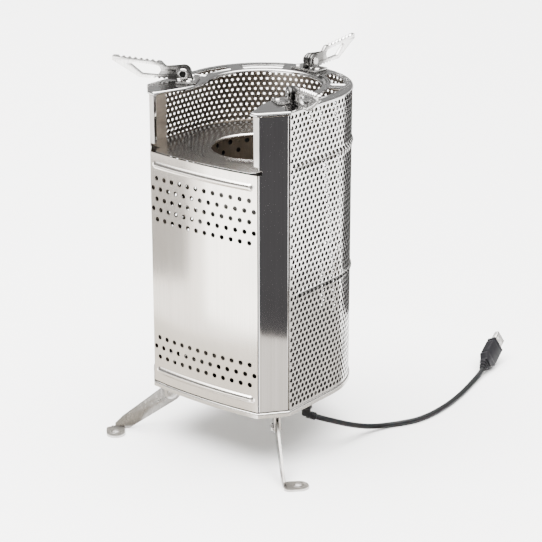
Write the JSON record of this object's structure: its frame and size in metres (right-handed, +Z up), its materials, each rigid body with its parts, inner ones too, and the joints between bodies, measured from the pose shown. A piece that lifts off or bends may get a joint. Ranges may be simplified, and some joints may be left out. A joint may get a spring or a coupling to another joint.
{
  "type": "portable camp stove",
  "caption": "Upright stainless camp stove with a perforated guard, an open feed side over a round fire chamber, folding pot supports, folding legs and a blower with a USB cable.",
  "frame": {"origin": "on the ground under the middle of the stove's box, measured without the cable and its plug", "axes": "+Z up; -Y out of the bowed front panel and the feed side; +X to the stove's right seen from above with the front below, where the cable leaves"},
  "size_m": [0.2126, 0.3589, 0.3168],
  "materials": {
    "stainless_sheet": "brushed",
    "dark_steel": "brushed, darker",
    "black_plastic": "satin",
    "fan_plastic": "matte",
    "bright_shell": "plated"
  },
  "bodies": {
    "stove": {"base_tray": "stainless_sheet", "front_panel": "stainless_sheet", "left_pillar": "stainless_sheet", "right_pillar": "stainless_sheet", "perforated_guard": "stainless_sheet", "top_ring": "stainless_sheet", "deck_plate": "dark_steel", "fire_chamber": "dark_steel", "grate": "dark_steel", "air_jacket": "dark_steel", "plenum_plate": "dark_steel", "spacer_post_1": "stainless_sheet", "spacer_post_2": "stainless_sheet", "spacer_post_3": "stainless_sheet", "spacer_post_4": "stainless_sheet", "fan_frame": "fan_plastic", "fan_lead": "black_plastic", "back_arm_bracket": "stainless_sheet", "left_arm_bracket": "stainless_sheet", "right_arm_bracket": "stainless_sheet", "back_arm_bolt": "stainless_sheet", "left_arm_bolt": "stainless_sheet", "right_arm_bolt": "stainless_sheet", "back_leg_bracket": "stainless_sheet", "left_leg_bracket": "stainless_sheet", "right_leg_bracket": "stainless_sheet", "back_leg_pin": "stainless_sheet", "left_leg_pin": "stainless_sheet", "right_leg_pin": "stainless_sheet", "cable_gland": "black_plastic", "usb_cable": "black_plastic", "usb_plug": "black_plastic", "usb_shell": "bright_shell"},
    "blower_rotor": {"fan_rotor": "fan_plastic"},
    "back_pot_support": {"back_arm": "stainless_sheet"},
    "left_pot_support": {"left_arm": "stainless_sheet"},
    "right_pot_support": {"right_arm": "stainless_sheet"},
    "back_leg_body": {"back_leg": "stainless_sheet"},
    "left_leg_body": {"left_leg": "stainless_sheet"},
    "right_leg_body": {"right_leg": "stainless_sheet"}
  },
  "joints": [
    {"name": "rotor_spin", "type": "hinge", "parent": "stove", "child": "blower_rotor", "pos_m": [-0.00065, -0.01565, 0.058], "axis": [0, 0, 1], "continuous": true},
    {"name": "back_arm_fold", "type": "hinge", "parent": "stove", "child": "back_pot_support", "pos_m": [-0.00065, 0.05415, 0.3038], "axis": [1, 0, 0], "range_deg": [0, 174]},
    {"name": "left_arm_fold", "type": "hinge", "parent": "stove", "child": "left_pot_support", "pos_m": [-0.05573, -0.0423, 0.3038], "axis": [-0.5225, 0.8526, 0], "range_deg": [0, 174]},
    {"name": "right_arm_fold", "type": "hinge", "parent": "stove", "child": "right_pot_support", "pos_m": [0.05443, -0.0423, 0.3038], "axis": [-0.5225, -0.8526, 0], "range_deg": [0, 174]},
    {"name": "back_leg_fold", "type": "hinge", "parent": "stove", "child": "back_leg_body", "pos_m": [-0.00065, 0.05245, 0.0315], "axis": [-1, 0, 0], "range_deg": [0, 145]},
    {"name": "left_leg_fold", "type": "hinge", "parent": "stove", "child": "left_leg_body", "pos_m": [-0.05748, -0.06343, 0.0315], "axis": [0.6947, -0.7193, 0], "range_deg": [0, 145]},
    {"name": "right_leg_fold", "type": "hinge", "parent": "stove", "child": "right_leg_body", "pos_m": [0.05618, -0.06343, 0.0315], "axis": [0.6947, 0.7193, 0], "range_deg": [0, 145]}
  ]
}
